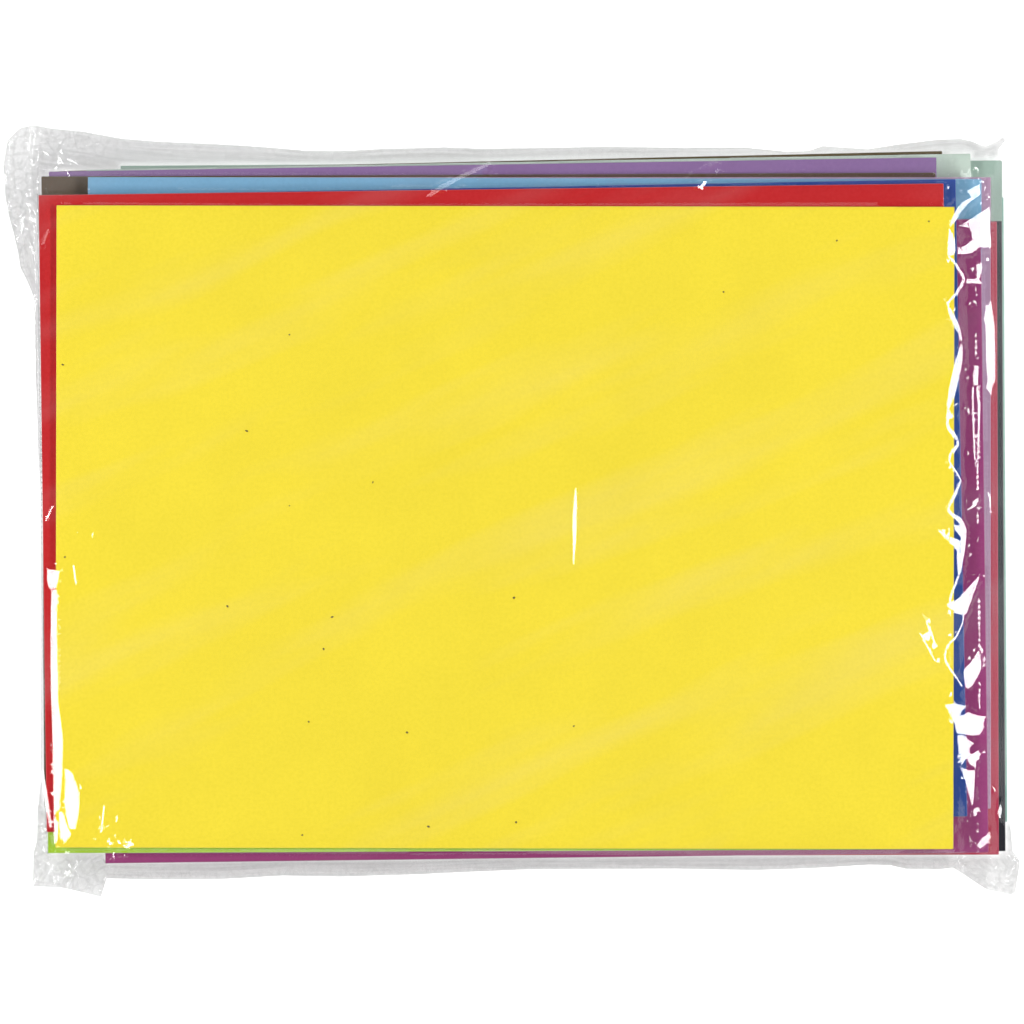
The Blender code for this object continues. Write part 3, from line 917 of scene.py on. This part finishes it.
# Lower side, with its punched air hole
plan, faces, planes, loops = draw_film(-1)
spread = area_round(plan, faces)
seam_gap, seam_run = from_loop(plan, seam)
on_seam = seam_gap < ON_SEAM
seam_z = seam_height(plan)
base = np.clip(skin_height(plan, planes, -1), 0.06, seam_z)
z = relax(faces, len(plan), base, np.full(len(plan), REACH_UNDER), spread, on_seam, seam_z)
z += np.where(on_seam, 0, loose_film(plan, seam_gap, seam_run))
z = np.where(on_seam, z, np.minimum(z, cover(plan, 1, -1, 0.9) - 0.1).clip(0.05))
vent = loops[0][0]
middle = plan[faces].mean(axis=1)
faces = faces[~inside(middle, vent)][:, ::-1]
lower = (plan, z, faces, seam_gap, seam_run, on_seam)

# Both sides joined along the seam
points, faces, lip_lines = [], [], []
seam_index = {}
for plan, z, side_faces, seam_gap, seam_run, on_seam in (upper, lower):
    number = np.empty(len(plan), int)
    for i, (x, y) in enumerate(plan):
        key = (round(x, 2), round(y, 2))
        if on_seam[i] and key in seam_index:
            number[i] = seam_index[key]
            continue
        number[i] = len(points)
        if on_seam[i]:
            seam_index[key] = number[i]
        points.append((x / 1000, y / 1000, z[i] / 1000))
        lip_lines.append((seam_gap[i] / 1000, seam_run[i] / 1000, 0.0))
    faces.extend(number[side_faces].tolist())
film_mesh = bpy.data.meshes.new("film")
film_mesh.from_pydata(points, [], faces)
film_mesh.validate()
plan = np.array(points)[:, :2] * 1000
beyond = outside_sheet(plan, plans["yellow"][0])[0]
corner_near = np.min([np.linalg.norm(plan - c, axis=1) for c in plans["yellow"][0]], axis=0)
beyond_all = np.min([outside_sheet(plan, sheet[0])[0] for sheet in plans.values()], axis=0)
lip = smooth_step(-1.5, 2.5, beyond_all)
crumple = smooth_step(30, 8, corner_near) * smooth_step(-2, 6, beyond) + smooth_step(3, 12, beyond_all)
film_mesh.attributes.new("lip", "FLOAT", "POINT").data.foreach_set("value", lip)
film_mesh.attributes.new("crumple", "FLOAT", "POINT").data.foreach_set("value", crumple.clip(0, 1))
lip_map = film_mesh.attributes.new("lip_lines", "FLOAT_VECTOR", "POINT")
lip_map.data.foreach_set("vector", np.array(lip_lines).ravel())
film_mesh.shade_smooth()
film_mesh.set_sharp_from_angle(angle=math.radians(SHARP_FOLD))
corners_of_faces = np.array([tuple(face.vertices) for face in film_mesh.polygons])
crushed = corner_near[corners_of_faces].mean(axis=1) < CRUSHED_REACH
crushed &= beyond_all[corners_of_faces].mean(axis=1) > CRUSHED_BEYOND
smooth = ~crushed
smooth[:len(flat_face)] &= ~flat_face
film_mesh.polygons.foreach_set("use_smooth", smooth)

# Cast polypropylene film 50 microns thick: clear and glossy, and milky where it has been creased;
# the milk also runs in soft diagonal bands, a painted glare. The lip is two films with air between
# them, full of fine draw lines along the seam and of small crinkles. Its grey is painted shade: the
# film there lets less light through than clear film, least along the crinkle creases and the dark
# draw lines. The draw lines are drawn 1.3 mm apart and the crinkles 6 mm.
FILM_CLEARNESS = 0.975
LIP_SHADE_DARK, LIP_SHADE_PALE = 0.71, 0.82
FILM_GLOSS, FILM_SHINE, FILM_EDGE_SHINE = 0.035, 0.035, 0.16
DRAW_LINE_GAP, DRAW_LINES_ALONG = 0.0013, 16.0
CRINKLE_SIZE, SPECK_SIZE, WANDER_SIZE = 0.006, 0.0028, 1 / 110
RELIEF_HEIGHT = 0.00015
# Painted glare: soft diagonal bands of milk across the film
GLARE_BAND_LENGTH, GLARE_BAND_GAP, GLARE_BAND_HEADING = 0.30, 0.034, 24.0
MILKINESS = 0.012


def grey(value):
    return (value, value, value, 1.0)


def film_finish(name, loose):
    """The finish of the film: taut over the pile, or loose beyond it, with its lines and crinkles and the
    painted shade that greys the lip. Both carry soft bands of painted glare.
    """
    material, tree = new_material(name)
    spot = add_node(tree, "ShaderNodeTexCoord")
    through = add_node(tree, "ShaderNodeBsdfTransparent", {"Color": grey(FILM_CLEARNESS)})
    gloss = add_node(tree, "ShaderNodeBsdfAnisotropic", {"Roughness": FILM_GLOSS, "Color": grey(1.0)})
    turned = add_node(
        tree, "ShaderNodeMapping",
        {
            "Rotation": (0.0, 0.0, math.radians(GLARE_BAND_HEADING)),
            "Scale": (GLARE_BAND_LENGTH, GLARE_BAND_GAP, 1.0)
        },
        {"Vector": spot.outputs["Object"]}, vector_type="TEXTURE"
    )
    # Soft diagonal bands where the film turns milky: a painted glare
    glare_bands = add_node(
        tree, "ShaderNodeTexNoise", {"Scale": 1.0, "Detail": 3.0, "Roughness": 0.55},
        {"Vector": turned.outputs[0]}
    )
    milk_and_glare_share = add_node(
        tree, "ShaderNodeMapRange", {1: 0.48, 2: 0.72, 3: 0.003, 4: 0.065}, {0: glare_bands.outputs[0]}
    )
    if loose:
        lines = add_node(tree, "ShaderNodeAttribute", attribute_name="lip_lines")
        lip_map = add_node(tree, "ShaderNodeAttribute", attribute_name="lip")
        crumple_map = add_node(tree, "ShaderNodeAttribute", attribute_name="crumple")
        stretched = add_node(
            tree, "ShaderNodeVectorMath", {1: (1 / DRAW_LINE_GAP, DRAW_LINES_ALONG, 1.0)},
            {0: lines.outputs["Vector"]}, operation="MULTIPLY"
        )
        streaks = add_node(
            tree, "ShaderNodeTexNoise", {"Scale": 1.0, "Detail": 4.0, "Roughness": 0.6},
            {"Vector": stretched.outputs[0]}
        )
        drawn = add_node(
            tree, "ShaderNodeMapRange", {1: 0.37, 2: 0.63, 3: 0.0, 4: 1.0}, {0: streaks.outputs[0]}
        )
        wander = add_node(
            tree, "ShaderNodeTexNoise", {"Scale": 1 / WANDER_SIZE, "Detail": 2.0},
            {"Vector": spot.outputs["Object"]}
        )
        bent = add_node(
            tree, "ShaderNodeVectorMath", {1: (CRINKLE_SIZE, CRINKLE_SIZE, CRINKLE_SIZE)},
            {0: wander.outputs["Color"], 2: spot.outputs["Object"]}, operation="MULTIPLY_ADD"
        )
        crinkles = add_node(
            tree, "ShaderNodeTexVoronoi", {"Scale": 1 / CRINKLE_SIZE}, {"Vector": bent.outputs[0]},
            feature="DISTANCE_TO_EDGE", voronoi_dimensions="2D"
        )
        # Darker along the crinkle creases: painted shade in the lip's tone, and also part of its relief
        creased = add_node(
            tree, "ShaderNodeMapRange", {1: 0.0, 2: 0.12, 3: 0.6, 4: 1.0},
            {0: crinkles.outputs["Distance"]}
        )
        specks = add_node(
            tree, "ShaderNodeTexNoise", {"Scale": 1 / SPECK_SIZE, "Detail": 3.0, "Roughness": 0.65},
            {"Vector": spot.outputs["Object"]}
        )
        cloudy = add_node(
            tree, "ShaderNodeMapRange", {1: 0.34, 2: 0.56, 3: 0.45, 4: 1.0}, {0: specks.outputs[0]}
        )
        crumpled = add_node(
            tree, "ShaderNodeMath", links={0: creased.outputs[0], 1: cloudy.outputs[0]},
            operation="MULTIPLY"
        )
        crinkle_share = add_node(
            tree, "ShaderNodeMath", {1: 0.5, 2: 0.35}, {0: crumple_map.outputs["Fac"]},
            operation="MULTIPLY_ADD"
        )
        mottle = add_node(
            tree, "ShaderNodeMix",
            links={0: crinkle_share.outputs[0], 2: drawn.outputs[0], 3: crumpled.outputs[0]},
            data_type="FLOAT"
        )
        # How much light the lip lets through: a painted shade that greys it, darkest where the mottle is
        # low
        tone = add_node(
            tree, "ShaderNodeMapRange", {1: 0.0, 2: 1.0, 3: LIP_SHADE_DARK, 4: LIP_SHADE_PALE}, {0: mottle.outputs[0]}
        )
        painted_lip_shade = add_node(
            tree, "ShaderNodeMix", {6: grey(FILM_CLEARNESS)},
            {0: lip_map.outputs["Fac"], 7: tone.outputs[0]}, data_type="RGBA"
        )
        tree.links.new(painted_lip_shade.outputs[2], through.inputs["Color"])
        speck_relief = add_node(
            tree, "ShaderNodeMath", links={0: specks.outputs[0], 1: crumple_map.outputs["Fac"]},
            operation="MULTIPLY"
        )
        line_relief = add_node(
            tree, "ShaderNodeMath", links={0: mottle.outputs[0], 1: lip_map.outputs["Fac"]},
            operation="MULTIPLY"
        )
        relief = add_node(
            tree, "ShaderNodeMath", {1: 2.0}, {0: speck_relief.outputs[0], 2: line_relief.outputs[0]},
            operation="MULTIPLY_ADD"
        )
        bump = add_node(
            tree, "ShaderNodeBump", {"Strength": 0.6, "Distance": RELIEF_HEIGHT},
            {"Height": relief.outputs[0]}
        )
        tree.links.new(bump.outputs[0], gloss.inputs["Normal"])
        milk_and_glare_share = add_node(
            tree, "ShaderNodeMath", {1: MILKINESS},
            {0: crumple_map.outputs["Fac"], 2: milk_and_glare_share.outputs[0]}, operation="MULTIPLY_ADD"
        )
    facing = add_node(tree, "ShaderNodeLayerWeight", {"Blend": 0.5})
    steep = add_node(tree, "ShaderNodeMath", {1: 4.0}, {0: facing.outputs["Facing"]}, operation="POWER")
    shine = add_node(
        tree, "ShaderNodeMath", {1: FILM_EDGE_SHINE, 2: FILM_SHINE}, {0: steep.outputs[0]},
        operation="MULTIPLY_ADD"
    )
    clear = add_node(
        tree, "ShaderNodeMixShader",
        links={0: shine.outputs[0], 1: through.outputs[0], 2: gloss.outputs[0]}
    )
    # White haze of the film: real milkiness where it is crumpled, and the painted glare bands
    milk_and_glare = add_node(tree, "ShaderNodeBsdfDiffuse", {"Color": linear("E6E8EA")})
    finish = add_node(
        tree, "ShaderNodeMixShader",
        links={0: milk_and_glare_share.outputs[0], 1: clear.outputs[0], 2: milk_and_glare.outputs[0]}
    )
    add_node(tree, "ShaderNodeOutputMaterial", links={"Surface": finish.outputs[0]})
    return material


film_mesh.materials.append(film_finish("clear_polypropylene", False))
film_mesh.materials.append(film_finish("creased_polypropylene", True))
# Only the loose film carries the lines and crinkles and the painted lip shade, and so its own finish
worn = (np.maximum(lip, crumple)[corners_of_faces] > 0).any(axis=1)
film_mesh.polygons.foreach_set("material_index", worn.astype(np.int32))
film = place_piece("film", film_mesh)
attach(film, "root")
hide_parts("film_bag")
